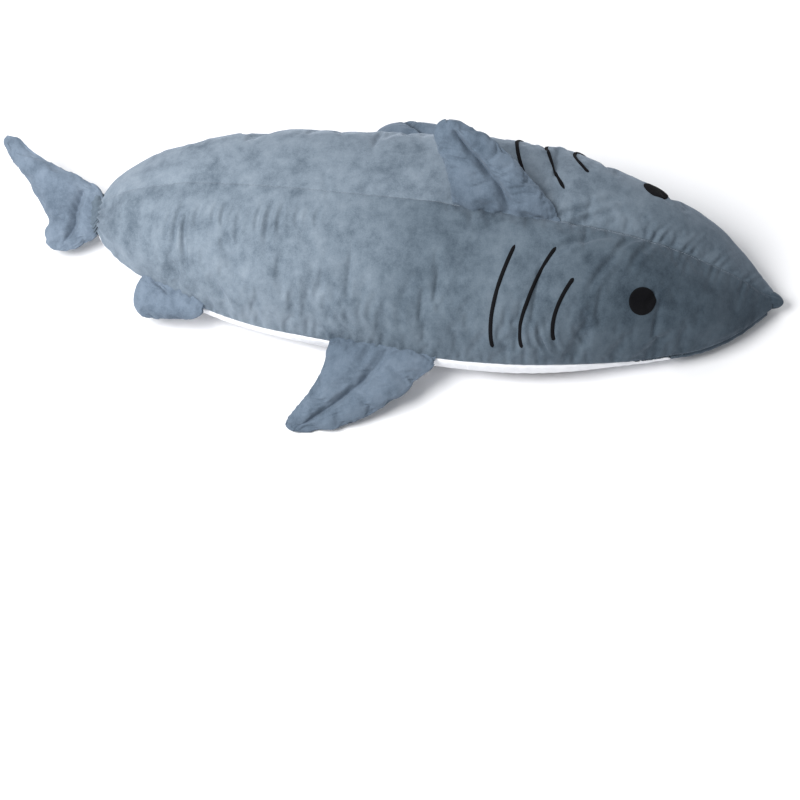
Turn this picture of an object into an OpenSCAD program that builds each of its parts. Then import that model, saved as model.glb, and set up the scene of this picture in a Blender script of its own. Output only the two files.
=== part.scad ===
// Giant plush shark with a mouth that opens into a sleeping pocket.
// It lies on its belly: nose along +X, its left side along +Y, up along +Z.
// Inside this file x runs from 0 at the tail root to body_length at the nose.

/* [Body] */
// Length from the tail root to the nose
body_length = 1745; // [1500:5:2000]
// Length from the tail root back to the tail's tip
tail_length = 285; // [200:5:300]
// Width across the two side seams at the widest place
body_width = 660; // [560:2:740]
// Height of the back above the floor at the highest place
body_height = 286; // [250:2:320]
// Thickness of the plush fabric
fabric = 3; // [2:0.5:4]

/* [Mouth and pocket] */
// Height of the sleeping pocket between its two linings
pocket_height = 84; // [60:2:90]
// Height of a tooth from its base to its tip
tooth_height = 90; // [60:5:100]
// Teeth on the upper jaw
upper_tooth_count = 13; // [9:2:13]
// Teeth on the lower jaw
lower_tooth_count = 9; // [7:2:9]
// How far the snout lifts, in degrees
jaw_lift = 35; // [20:1:40]

/* [Fins] */
// How far the dorsal fin leans over to the left of upright, in degrees
dorsal_lean = 42; // [0:1:50]
// How far a pectoral fin droops below level, in degrees
pectoral_droop = 31; // [20:1:32]
// How far a rear fin droops below level, in degrees
rear_droop = 35; // [20:1:40]
// Tilt of the tail fin out of level, with its long lobe up, in degrees
tail_tilt = 28; // [10:1:35]

/* [Face] */
// Radius of an eye
eye_r = 34; // [25:1:40]
// Width of a gill stripe
gill_w = 10; // [6:1:14]

/* [Hidden] */
BASE_NODES = [
    "back_cover_left", "back_cover_right", "belly_cover", "back_filling", "belly_filling",
    "pocket_lining_upper", "pocket_lining_lower",
    "head_cover_left", "head_cover_right", "head_filling", "palate_lining", "upper_lip",
    "snout_underside", "nose_tip", "eye_left", "eye_right",
    "dorsal_fin_cover", "dorsal_fin_filling", "tail_neck_cover", "tail_neck_filling",
    "tail_fin_cover", "tail_fin_filling",
    "pectoral_fin_left_cover", "pectoral_fin_left_filling",
    "pectoral_fin_right_cover", "pectoral_fin_right_filling",
    "rear_fin_left_cover", "rear_fin_left_filling",
    "rear_fin_right_cover", "rear_fin_right_filling"
];
SIDES = ["left", "right"];

gap = 0.5;                                   // clearance between nested pieces
x_mid = (body_length - tail_length) / 2;     // the origin lies under the middle of the whole length
sx = body_length / 1745;                     // the profiles below are drawn for the default sizes
sy = body_width / 660;
sz = body_height / 286;

grey = [0.50, 0.56, 0.62];
white = [0.93, 0.93, 0.95];
red = [0.72, 0.02, 0.05];
black = [0.03, 0.03, 0.04];
fibre = [0.97, 0.97, 0.96];

// Profiles along the body: [distance from the tail root, value]
HALF_WIDTH = [[0, 58], [30, 100], [100, 156], [250, 228], [420, 280], [600, 307], [820, 325], [980, 330],
              [1120, 320], [1240, 296], [1360, 257], [1470, 217], [1560, 178], [1640, 120], [1700, 56],
              [1732, 20], [1745, 12]];
TOP = [[0, 138], [30, 170], [100, 214], [250, 256], [450, 278], [700, 285], [900, 286], [1160, 280],
       [1300, 262], [1420, 232], [1540, 178], [1640, 116], [1710, 62], [1745, 46]];
SEAM = [[0, 98], [100, 116], [250, 128], [500, 130], [1000, 128], [1250, 112], [1450, 78], [1600, 47],
        [1745, 32]];
BELLY = [[0, 58], [60, 38], [140, 15], [240, 0], [360, -14], [1400, -14], [1560, -8], [1640, -2],
         [1700, 10], [1745, 20]];

// The mouth in plan, as [x, half width] for the corner, the widest place and the front end
corner = [1004 * sx, 247 * sy];
widest = [1118 * sx, 271 * sy];
apex_x = 1486 * sx;
rim_x = 1205 * sx;                           // front of the lower jaw
rim_roll = 60 * sx;                          // depth of the lower jaw's rounded edge
gum_start = 1390 * sx;                       // where the white lip leaves the side seam
gum_end = 1556 * sx;                         // front of the white lip
nose_start = 1706 * sx;                      // the gathered tip begins here
pocket_end = 180 * sx;
palate_edge_z = 22 * sz;
neck = [1195 * sx, 250 * sz];                // [x, z] of the line that the snout lifts about
neck_lean = -6;                              // the crease's foot stands ahead of that line, in degrees

dorsal_root = [920 * sx, 1185 * sx];
pectoral_root = [654 * sx, 924 * sx];
rear_root = [133 * sx, 328 * sx];
tail_joint = [-40, 125 * sz];                // [x, z] of the line that the tail lifts about
tail_lift = 30;
neck_root_z = 98 * sz;

// Fin outlines: [height above the root, trailing edge, leading edge] along the root's direction
DORSAL = [[0, 0, 265], [28, -8, 248], [65, -19, 211], [103, -32, 167], [140, -51, 120], [168, -63, 78],
    [186, -62, 42], [197, -52, 5], [203, -40, -18]];
PECTORAL = [[0, 0, 270], [22, -3, 262], [45, -3, 240], [80, -10, 219], [115, -21, 187], [160, -45, 133],
    [190, -63, 90], [207, -71, 64], [222, -74, 20], [232, -64, -10], [237, -54, -34]];
REAR = [[0, 0, 195], [20, -14, 192], [45, -23, 178], [68, -20, 150], [86, 0, 112], [95, 28, 76]];
TAIL = [[-106, 86, 120], [-95, 60, 139], [-80, 34, 144], [-60, 5, 149], [-33, 5, 141], [-11, 5, 157],
    [32, 5, 187], [67, 10, 212], [84, 76, 228], [110, 150, 254], [131, 200, 270], [153, 232, tail_length],
    [170, 254, 276]];

// ---- Functions ----

// Smooth curve through a profile's points
function slope(p, k) =
    let (a = max(k - 1, 0), b = min(k + 1, len(p) - 1)) (p[b][1] - p[a][1]) / (p[b][0] - p[a][0]);
function curve(p, x) =
    x <= p[0][0] ? p[0][1] :
    x >= p[len(p) - 1][0] ? p[len(p) - 1][1] :
    let (
        k = max([for (i = [0:len(p) - 2]) if (p[i][0] <= x) i]),
        h = p[k + 1][0] - p[k][0],
        t = (x - p[k][0]) / h
    )
    (2 * t^3 - 3 * t^2 + 1) * p[k][1] + (t^3 - 2 * t^2 + t) * h * slope(p, k)
    + (3 * t^2 - 2 * t^3) * p[k + 1][1] + (t^3 - t^2) * h * slope(p, k + 1);

function half_width(x) = sy * curve(HALF_WIDTH, x / sx);
function top_z(x) = sz * curve(TOP, x / sx);
function seam_z(x) = sz * curve(SEAM, x / sx);
function belly_z(x) = sz * curve(BELLY, x / sx);
function power(v, e) = sign(v) * abs(v)^e;

// A point of the body's skin: t is 0 at the left seam, 90 on the spine, 180 at the right seam
function skin(x, t, off = 0) =
    let (upper = t <= 180, n = upper ? 2 / 2.25 : 2 / 3)
    [
        x,
        (half_width(x) + off) * power(cos(t), n),
        max(seam_z(x) + (upper ? top_z(x) - seam_z(x) + off : seam_z(x) - belly_z(x) + off)
            * power(sin(t), n), -off)
    ];
function ends(n, from, to) = [for (i = [0:n]) from + (to - from) * (1 - cos(180 * i / n)) / 2];
function even(n, from, to) = [for (i = [0:n]) from + (to - from) * i / n];

// The mouth's outer line, the lower jaw's rim and the pocket's side, as half widths at x
function mouth_y(x) =
    x <= widest[0] ? widest[1] - (widest[1] - corner[1]) * ((widest[0] - x) / (widest[0] - corner[0]))^1.5
    : widest[1] * max(1 - ((x - widest[0]) / (apex_x - widest[0]))^1.8, 0)^(1 / 1.8);
function rim_y(x) = corner[1] * max((rim_x - x) / (rim_x - corner[0]), 0)^(1 / 1.65);
function rim_at(y) = rim_x - (rim_x - corner[0]) * (abs(y) / corner[1])^1.65;
function pocket_y(x) =
    let (v = min(x, corner[0]))
    half_width(v) - 25 * sy - (half_width(corner[0]) - 25 * sy - corner[1])
        * max((v - 850 * sx) / (corner[0] - 850 * sx), 0)^2;
function closing(x) = min(max((x - pocket_end) / (80 * sx), 0), 1)^0.5;
function bulge(y, half) = 1 - min(abs(y) / max(half, 1), 1)^4;

function roof_z(x, y) = seam_z(x) + pocket_height / 2 * closing(x) * bulge(y, pocket_y(x));
function smooth(v) = let (u = min(max(v, 0), 1)) u * u * (3 - 2 * u);
function palate_z(x, y) =
    let (
        high = seam_z(corner[0]) + pocket_height / 2 - palate_edge_z,
        edge = palate_edge_z + (seam_z(corner[0]) - palate_edge_z)
            * smooth(1 - (x - corner[0]) / (110 * sx)),
        middle = palate_edge_z + high * (mouth_y(x) / corner[1])^0.8,
        u = min(abs(y) / mouth_y(x), 1)
    )
    edge + (max(middle, edge) - edge) * (1 - u^(4 - 2 * smooth((x - corner[0]) / (110 * sx))));
function roll(x, y) = 1 - (1 - min(max(rim_at(y) - x, 0) / rim_roll, 1))^2;
function jaw_z(x, y) = seam_z(x) - pocket_height / 2 * closing(x) * bulge(y, pocket_y(x));
function rolled_top(x, y) = 50 * sz + (jaw_z(x, y) - 50 * sz) * sqrt(roll(x, y));
function rolled_bottom(x, y) = 50 * sz * (1 - sqrt(roll(x, y)));

// A lens-shaped ring of a fin: pillow-round between its trailing and leading edges
function lens(row, thick, inset) =
    let (a0 = row[1] + 2 * inset, a1 = row[2] - 2 * inset, n = 6, edge = 0.4 - inset / 15)
    concat(
        [for (i = [0:n]) let (u = (1 - cos(180 * i / n)) / 2)
            [a0 + (a1 - a0) * u, row[0], max(thick * sin(180 * i / n)^0.8 / 2 - inset, edge)]],
        [for (i = [n:-1:0]) let (u = (1 - cos(180 * i / n)) / 2)
            [a0 + (a1 - a0) * u, row[0], -max(thick * sin(180 * i / n)^0.8 / 2 - inset, edge)]]
    );
// How thick a fin is at a share v of its height: thin at the root seam and at the tip
function swell(v) = 0.12 + 0.88 * sin(171 * v)^0.7;

// ---- Builders ----

// One closed solid through rings of equally many points
module loft(rings) {
    m = len(rings[0]);
    n = len(rings);
    polyhedron(
        points = [for (r = rings) each r],
        faces = concat(
            [[for (j = [0:m - 1]) j]],
            [[for (j = [m - 1:-1:0]) (n - 1) * m + j]],
            [for (i = [0:n - 2], j = [0:m - 1])
                [i * m + j, (i + 1) * m + j, (i + 1) * m + (j + 1) % m, i * m + (j + 1) % m]]
        ),
        convexity = 6
    );
}

// Cut and joined cloth shapes stay one smooth-skinned solid at their drawn size
module sewn() {
    resize([0, 0, 0]) children();
}

// Puts the body's frame on the object's origin
module place() {
    translate([-x_mid, 0, 0]) children();
}

// The whole body's closed form, taken in by inset all round
module envelope(inset = 0, n = 30, m = 32) {
    loft([for (x = ends(n, inset, body_length - inset))
        [for (j = [0:m - 1]) skin(x, 360 * j / m, -inset)]]);
}

// A closed slab between two heights over the plan |y| < half(x)
module field(xs, ys, low, high) {
    loft([for (i = [0:len(xs) - 1]) concat(
        [for (y = ys[i]) [xs[i], y, low(xs[i], y)]],
        [for (k = [len(ys[i]) - 1:-1:0]) [xs[i], ys[i][k], high(xs[i], ys[i][k])]]
    )]);
}
SPREAD = [-1, -0.94, -0.82, -0.62, -0.34, 0, 0.34, 0.62, 0.82, 0.94, 1];
function across(xs, half) = [for (x = xs) [for (s = SPREAD) s * half(x)]];

// Half-spaces and plan cuts
module above_seam(sign = 1) {
    far = 600;
    xs = even(24, -20, body_length + 20);
    rotate([90, 0, 0]) linear_extrude(2 * far, center = true)
        polygon(concat([for (x = xs) [x, seam_z(x)]],
            [[body_length + 20, sign * far], [-20, sign * far]]));
}
module left_half() {
    translate([-400, 0, -400]) cube([3000, 1000, 1200]);
}
module ahead_of(x) {
    translate([x, -1000, -400]) cube([2000, 2000, 1200]);
}
// Everything behind the crease, or in front of it with room for the lift
module behind_neck(back = 0) {
    translate([neck[0] - back, 0, neck[1]]) rotate([0, neck_lean, 0])
        translate([-3000, -1000, -1500]) cube([3000, 2000, 3000]);
}
module ahead_of_neck() {
    difference() {
        translate([neck[0] + 1, 0, neck[1]]) rotate([0, neck_lean, 0])
            translate([0, -1000, -1500]) cube([3000, 2000, 3000]);
        translate([neck[0], 0, neck[1]]) rotate([0, neck_lean + jaw_lift + 2, 0])
            translate([-3000, -1000, 0]) cube([3000, 2000, 3000]);
    }
}

// Stations along the mouth and along the pocket
mouth_xs = concat(even(6, corner[0] + 8, widest[0]),
    [for (x = ends(14, widest[0], apex_x - 2)) if (x > widest[0]) x]);
pocket_xs = concat([pocket_end + 2, pocket_end + 10], even(11, pocket_end + 30 * sx, corner[0] - 30));
rim_xs = concat(even(5, corner[0] + 16, rim_x - 60 * sx), [rim_x - 38 * sx, rim_x - 28 * sx]);

// The open space of the mouth under the palate, grown by off, and by more above
module mouth_space(off = 0, more = 0) {
    xs = concat([corner[0] - off], mouth_xs);
    field(xs, across(xs, function (x) mouth_y(x) + off),
        function (x, y) -60, function (x, y) palate_z(x, y) + off + more);
}
// Everything under the pocket's roof, or under its floor, off away from the pocket
module under(sheet, off, last) {
    xs = concat([-20, 60 * sx, pocket_end - 4], pocket_xs, [last]);
    field(
        xs,
        [for (x = xs) let (p = pocket_y(x) + 1, w = half_width(x) + 20)
            concat([-w, -p - 1], [for (s = SPREAD) s * p], [p + 1, w])],
        function (x, y) -60,
        function (x, y) sheet(x, y)
            + sign(off) * (abs(y) > pocket_y(x) + 1.5 || x < pocket_end ? gap : abs(off))
    );
}

// The lower jaw's pad ahead of the mouth corners, taken in by inset
module jaw_pad(inset = 0) {
    xs = concat([corner[0] - 1.2], rim_xs, [rim_x - 18 * sx, rim_x - 6 * sx, rim_x - 1 - inset]);
    field(xs, across(xs, function (x) max(rim_y(x + inset) - inset, 0.5)),
        function (x, y) rolled_bottom(x + inset, y) + inset, function (x, y) rolled_top(x + inset, y) - inset);
}

module body_shell() {
    difference() {
        envelope(0);
        envelope(fabric);
    }
}

// ---- Torso ----

module back_cover_left() {
    color(grey) place() sewn() intersection() {
        body_shell();
        above_seam();
        behind_neck();
        translate([0, 0.1, 0]) left_half();
    }
}

module back_cover_right() {
    color(grey) place() sewn() intersection() {
        body_shell();
        above_seam();
        behind_neck();
        mirror([0, 1, 0]) translate([0, 0.1, 0]) left_half();
    }
}

module belly_cover() {
    color(white) place() sewn() {
        intersection() {
            body_shell();
            translate([0, 0, -gap]) above_seam(-1);
            behind_neck();
            union() {
                translate([-50, -1000, -400]) cube([corner[0] + 50, 2000, 1200]);
                translate([-50, -240 * sy, -1]) cube([corner[0] + 54, 480 * sy, fabric + 1]);
                difference() {
                    ahead_of(corner[0] - 1);
                    mouth_space(0.3, fabric);
                }
            }
        }
        difference() {
            jaw_pad(0);
            jaw_pad(fabric);
            lining_lower(0.3, function (x, y) 50 * sz, function (x, y) 400);
            translate([-2000 + corner[0] + 1, -1000, -400]) cube([2000, 2000, 1200]);
        }
    }
}

module back_filling() {
    color(fibre) place() sewn() difference() {
        intersection() {
            envelope(fabric + gap);
            behind_neck();
        }
        under(function (x, y) roof_z(x, y), fabric + gap, corner[0] + 0.6);
        mouth_space(fabric + gap);
    }
}

module belly_filling() {
    color(fibre) place() sewn() union() {
        intersection() {
            envelope(fabric + gap);
            under(function (x, y) jaw_z(x, y), -fabric - gap, corner[0] - 1);
        }
        jaw_pad(fabric + 2 * gap);
    }
}

module pocket_lining_upper() {
    xs = concat([for (x = pocket_xs) if (x > pocket_end + 9) x], [corner[0] - 0.5]);
    color(red) place() sewn() union() {
        field(xs, across(xs, function (x) pocket_y(x) - 2), function (x, y) roof_z(x, y),
            function (x, y) roof_z(x, y) + fabric);
        intersection() {
            palate_sheet();
            behind_neck();
        }
    }
}

// The lower lining's part on the jaw, or the column above its plan that its cover leaves free
module lining_lower(off, low, high) {
    xs = concat([corner[0] - 0.9], rim_xs, [rim_x - 20 * sx + off]);
    field(xs, across(xs, function (x) max(rim_y(x + 16 * sx) - 3, 0.5) + off), low, high);
}

module pocket_lining_lower() {
    xs = concat([for (x = pocket_xs) if (x > pocket_end + 9) x], [corner[0] - 0.5]);
    color(red) place() sewn() union() {
        field(xs, across(xs, function (x) pocket_y(x) - 2), function (x, y) jaw_z(x, y) - fabric,
            function (x, y) jaw_z(x, y));
        lining_lower(0, function (x, y) rolled_top(x, y) - fabric, function (x, y) rolled_top(x, y));
    }
}

// ---- Upper jaw ----

module head_cover(side) {
    color(grey) place() sewn() difference() {
        intersection() {
            body_shell();
            above_seam();
            ahead_of_neck();
            mirror([0, side == "left" ? 0 : 1, 0]) translate([0, 0.1, 0]) left_half();
        }
        ahead_of(nose_start);
    }
}

module head_filling() {
    color(fibre) place() sewn() difference() {
        intersection() {
            envelope(fabric + gap);
            ahead_of_neck();
        }
        mouth_space(fabric + 3 * gap);
        ahead_of(nose_start);
    }
}

module palate_sheet() {
    xs = concat([corner[0] - 2], mouth_xs);
    field(xs, across(xs, function (x) mouth_y(x)), function (x, y) palate_z(x, y),
        function (x, y) palate_z(x, y) + fabric);
}

module palate_lining() {
    color(red) place() sewn() intersection() {
        palate_sheet();
        ahead_of_neck();
    }
}

// The white lip's front line in plan
module lip_plan() {
    n = 14;
    reach = gum_end - gum_start;
    edge = [for (i = [0:n]) let (a = 90 - 180 * i / n)
        [gum_start + reach * power(cos(a), 0.9), half_width(gum_start) * 1.02 * power(sin(a), 0.9)]];
    translate([0, 0, -100]) linear_extrude(500)
        polygon(concat([[900, 700], [gum_start, 700]], edge, [[gum_start, -700], [900, -700]]));
}

module upper_lip() {
    color(white) place() sewn() difference() {
        intersection() {
            body_shell();
            translate([0, 0, -gap]) above_seam(-1);
            ahead_of_neck();
            lip_plan();
        }
        mouth_space(0.3, fabric);
    }
}

module snout_underside() {
    color(grey) place() sewn() difference() {
        intersection() {
            body_shell();
            translate([0, 0, -gap]) above_seam(-1);
            ahead_of_neck();
        }
        translate([0.3, 0, 0]) lip_plan();
        mouth_space(0.3);
        ahead_of(nose_start);
    }
}

module nose_tip() {
    color(grey) place() sewn() intersection() {
        envelope(0);
        ahead_of(nose_start + gap);
    }
}

// ---- Face ----

module eye(side) {
    x = 1400 * sx;
    t = 50;
    s = side == "left" ? 1 : -1;
    p = skin(x, t, 2.4);
    along = skin(x + 5, t) - skin(x - 5, t);
    around = skin(x, t + 2) - skin(x, t - 2);
    normal = cross(along, around) / norm(cross(along, around));
    color(black) place() mirror([0, s > 0 ? 0 : 1, 0]) translate(p)
        rotate([0, acos(normal[2]), atan2(normal[1], normal[0])]) cylinder(h = 2.5, r = eye_r, $fn = 48);
}

// Each stripe as [x at its upper end, x at its middle, x at its lower end, upper angle, lower angle]
GILLS = [[1084, 1052, 1060, 75, 12], [1180, 1129, 1133, 76, 13], [1232, 1202, 1207, 61, 20]];

module gill(side, i) {
    g = GILLS[i - 1];
    n = 12;
    color(black) place() mirror([0, side == "left" ? 0 : 1, 0]) loft([for (k = [0:n])
        let (v = k / n, t = g[3] + (g[4] - g[3]) * v,
            x = sx * ((1 - v)^2 * g[0] + 2 * v * (1 - v) * (2 * g[1] - (g[0] + g[2]) / 2) + v^2 * g[2]))
        [skin(x - gill_w / 2, t, 3.2), skin(x + gill_w / 2, t, 3.2), skin(x + gill_w / 2, t, 1.2),
            skin(x - gill_w / 2, t, 1.2)]]);
}

// ---- Teeth ----

// A tooth's plan: base from a to b, tip inward by h
module tooth_plan(a, b, h) {
    mid = (a + b) / 2;
    d = b - a;
    inward = [-abs(d[1]), mid[1] > 0 ? -abs(d[0]) : abs(d[0])] / norm(d);
    translate([0, 0, -50]) linear_extrude(400)
        polygon([a + 2 * d / norm(d), b - 2 * d / norm(d), mid + h * inward]);
}

// Valleys of the upper teeth on the mouth's line, by angle round the mouth
function upper_valley(i) =
    let (k = 2 * i / upper_tooth_count - 1,
        x = corner[0] + (apex_x - corner[0]) * sin(90 * (1 - abs(k)))^1.05)
    [x, -sign(k) * mouth_y(x)];
module upper_tooth(i) {
    a = upper_valley(i - 1);
    b = upper_valley(i);
    h = tooth_height * (i == 1 || i == upper_tooth_count ? 0.6 : 1);
    color(white) place() sewn() intersection() {
        tooth_plan(a, b, h);
        field(mouth_xs, across(mouth_xs, function (x) max(mouth_y(x) - 1, 0.5)),
            function (x, y) palate_z(x, y) - 5, function (x, y) palate_z(x, y) - gap);
    }
}

function lower_valley(i) =
    let (k = 2 * i / lower_tooth_count - 1, y = -corner[1] * sign(k) * (1 - (1 - abs(k))^1.35))
    [rim_at(y), y];
module lower_tooth(i) {
    a = lower_valley(i - 1);
    b = lower_valley(i);
    h = tooth_height * (i == 1 || i == lower_tooth_count ? 0.5 : 0.75);
    color(white) place() sewn() intersection() {
        tooth_plan(a, b, h);
        lining_lower(0, function (x, y) rolled_top(x, y) + gap, function (x, y) rolled_top(x, y) + 5);
        ahead_of(corner[0]);
    }
}

// ---- Fins ----

module fin_form(outline, thick, inset, open = false) {
    h = outline[len(outline) - 1][0] - outline[0][0];
    loft([for (row = outline)
        let (v = (row[0] - outline[0][0]) / h,
            level = v == 0 && open ? -1 : row[0] + inset * (1 - 2 * v))
        lens([level, row[1], row[2]], thick * swell(v), inset)]);
}
// The cover is open along its root, where it is sewn into the body's seam
module fin_piece(outline, thick, layer) {
    sewn() if (layer == "cover") difference() {
        fin_form(outline, thick, 0);
        fin_form(outline, thick, 2.5, true);
    } else fin_form(outline, thick, 2.5 + 3 * gap);
}

// Lays a fin's own axes, root along +X and height along +Y, on a root line between two points
module on_root(from, to, turn) {
    d = to - from;
    translate(from) rotate([0, -asin(d[2] / norm(d)), atan2(d[1], d[0])]) rotate([turn, 0, 0]) children();
}

function spine_point(x) = [x, 0, top_z(x) + 5.5];
module dorsal_fin(layer) {
    color(layer == "cover" ? grey : fibre) place()
        on_root(spine_point(dorsal_root[0]), spine_point(dorsal_root[1]), 90 - dorsal_lean)
            fin_piece(DORSAL, 54, layer);
}

function seam_point(x, out) = [x, half_width(x) + out, seam_z(x)];
module side_fin(side, root, out, outline, thick, droop, layer) {
    color(layer == "cover" ? grey : fibre) place() mirror([0, side == "left" ? 0 : 1, 0])
        on_root(seam_point(root[0], out), seam_point(root[1], out), -droop) fin_piece(outline, thick, layer);
}
module pectoral_fin(side, layer) {
    side_fin(side, pectoral_root, 5, PECTORAL, 52, pectoral_droop, layer);
}
module rear_fin(side, layer) {
    side_fin(side, rear_root, 10, REAR, 46, rear_droop, layer);
}

// The tail's gathered neck: a wedge that swings about its front edge, as rings of
// [x, half width, half height]
NECK_OUTER = [[-38, 60, 36], [-14, 22, 38], [-4, 6.5, 34]];
NECK_INNER = [[-41, 57, 33], [-15, 19, 35], [-7, 5, 31]];
NECK_CORE = [[-37.5, 51, 32], [-15.6, 17.5, 34], [-8, 4, 30]];
module neck_form(rows) {
    loft([for (r = rows) [for (j = [0:15])
        [r[0], r[1] * cos(22.5 * j), neck_root_z + r[2] * sin(22.5 * j)]]]);
}
module tail_neck(layer) {
    color(layer == "cover" ? grey : fibre) place() sewn() if (layer == "cover") difference() {
        neck_form(NECK_OUTER);
        neck_form(NECK_INNER);
    } else neck_form(NECK_CORE);
}

module tail_fin(layer) {
    color(layer == "cover" ? grey : fibre) place() sewn() difference() {
        translate([0, 0, neck_root_z]) rotate([tail_tilt, 0, 0]) mirror([1, 0, 0])
            if (layer == "cover") difference() {
                tail_form(0);
                tail_form(2.5);
            } else tail_form(2.5 + 3 * gap);
        translate([-42 - (layer == "cover" ? 0 : 1), -500, 0]) cube([500, 1000, 500]);
        translate([tail_joint[0], 0, tail_joint[1]]) rotate([0, -tail_lift - 2, 0])
            translate([0, -500, 0]) cube([500, 1000, 500]);
    }
}
module tail_form(inset) {
    n = len(TAIL) - 1;
    loft([for (i = [0:n])
        let (row = TAIL[i], v = i / n, level = row[0] + inset * (1 - 2 * v))
        lens([level, row[1], row[2]], 58 * (0.3 + 0.7 * sin(180 * (0.08 + 0.84 * v))^0.8), inset)]);
}

// ---- Nodes ----

back_cover_left();
back_cover_right();
belly_cover();
back_filling();
belly_filling();
pocket_lining_upper();
pocket_lining_lower();
head_filling();
palate_lining();
upper_lip();
snout_underside();
nose_tip();
for (side = SIDES) {
    head_cover(side);
    eye(side);
    for (i = [1:3]) gill(side, i);
    for (layer = ["cover", "filling"]) {
        pectoral_fin(side, layer);
        rear_fin(side, layer);
    }
}
for (layer = ["cover", "filling"]) {
    dorsal_fin(layer);
    tail_neck(layer);
    tail_fin(layer);
}
for (i = [1:upper_tooth_count]) upper_tooth(i);
for (i = [1:lower_tooth_count]) lower_tooth(i);
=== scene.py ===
"""Looks of the giant plush shark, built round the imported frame.

Lengths inside the shapes are millimetres. A station u runs from the tail root to the nose, and w is the
distance over the skin from the spine, positive to the shark's left.
"""

from math import asin, atan2, cos, pi, radians, sin

import bmesh
import bpy
import numpy as np
from mathutils import Matrix, Vector


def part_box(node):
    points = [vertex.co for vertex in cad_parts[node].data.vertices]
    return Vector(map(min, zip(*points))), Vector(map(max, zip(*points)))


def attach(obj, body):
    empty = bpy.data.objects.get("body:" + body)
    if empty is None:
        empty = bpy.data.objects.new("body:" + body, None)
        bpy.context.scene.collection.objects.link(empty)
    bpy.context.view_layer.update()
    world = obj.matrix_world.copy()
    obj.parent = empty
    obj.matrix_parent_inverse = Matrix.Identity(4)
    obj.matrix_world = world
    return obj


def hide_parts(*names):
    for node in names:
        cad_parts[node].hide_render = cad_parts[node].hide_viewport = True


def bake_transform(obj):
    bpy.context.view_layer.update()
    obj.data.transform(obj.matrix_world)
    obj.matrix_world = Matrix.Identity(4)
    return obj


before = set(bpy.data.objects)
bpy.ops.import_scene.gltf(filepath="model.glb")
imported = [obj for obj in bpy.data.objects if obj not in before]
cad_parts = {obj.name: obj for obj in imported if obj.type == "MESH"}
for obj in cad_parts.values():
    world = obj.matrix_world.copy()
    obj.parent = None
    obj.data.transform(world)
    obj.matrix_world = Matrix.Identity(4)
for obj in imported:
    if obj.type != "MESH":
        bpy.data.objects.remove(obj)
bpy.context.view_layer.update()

MM = 0.001
TAIL_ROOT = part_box("belly_cover")[0].x / MM  # x of station 0
BODY = 1745.0  # tail root to nose
RNG = np.random.default_rng(7)

# ---- Camera, light and floor ----

CAMERA = dict(azimuth=13.6, elevation=59.2, roll=-5.0, distance=4.852, lens=90.0)
AIM = Vector((0.852 + TAIL_ROOT * MM, -0.449, 0.1))
KEY_LIGHT = dict(place=(-1.4, -1.3, 2.9), size=1.8, power=150)
FILL_LIGHT = dict(place=(0.9, 2.4, 2.2), size=2.5, power=25)
SKY_COLOUR = (0.95, 0.97, 1.0, 1)
SKY_STRENGTH = 0.5
FLOOR_COLOUR = (0.88, 0.88, 0.89)
FLOOR_HALF = 30
FLOOR_DROP = 0.0006  # keeps the floor clear of the belly


def new_object(name, data):
    o = bpy.data.objects.new(name, data)
    bpy.context.scene.collection.objects.link(o)
    return o


def camera():
    a, e, r = (radians(CAMERA[k]) for k in ("azimuth", "elevation", "roll"))
    back = Vector((sin(a) * cos(e), -cos(a) * cos(e), sin(e)))
    right = (-back).cross(Vector((0, 0, 1))).normalized()
    up = right.cross(-back)
    turned = right * cos(r) + up * sin(r)
    data = bpy.data.cameras.new("camera")
    data.lens = CAMERA["lens"]
    cam = new_object("camera", data)
    axes = Matrix((turned, back.cross(turned), back)).transposed()
    cam.matrix_world = Matrix.Translation(AIM + back * CAMERA["distance"]) @ axes.to_4x4()
    bpy.context.scene.camera = cam


def area_light(name, place, size, power):
    data = bpy.data.lights.new(name, "AREA")
    data.energy = power
    data.size = size
    lamp = new_object(name, data)
    lamp.location = place
    lamp.rotation_euler = (-Vector(place)).to_track_quat("-Z", "Y").to_euler()


def studio():
    bpy.context.scene.view_settings.view_transform = "Standard"
    world = bpy.data.worlds.new("studio")
    bpy.context.scene.world = world
    world.use_nodes = True
    sky = world.node_tree.nodes["Background"]
    sky.inputs["Color"].default_value = SKY_COLOUR
    sky.inputs["Strength"].default_value = SKY_STRENGTH
    area_light("key", **KEY_LIGHT)
    area_light("fill", **FILL_LIGHT)
    mesh = bpy.data.meshes.new("floor")
    r = FLOOR_HALF
    mesh.from_pydata([(-r, -r, 0), (r, -r, 0), (r, r, 0), (-r, r, 0)], [], [(0, 1, 2, 3)])
    floor = new_object("floor", mesh)
    floor.location.z = -FLOOR_DROP
    mesh.materials.append(plain("floor_white", FLOOR_COLOUR, 0.8))


# ---- Materials ----


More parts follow.
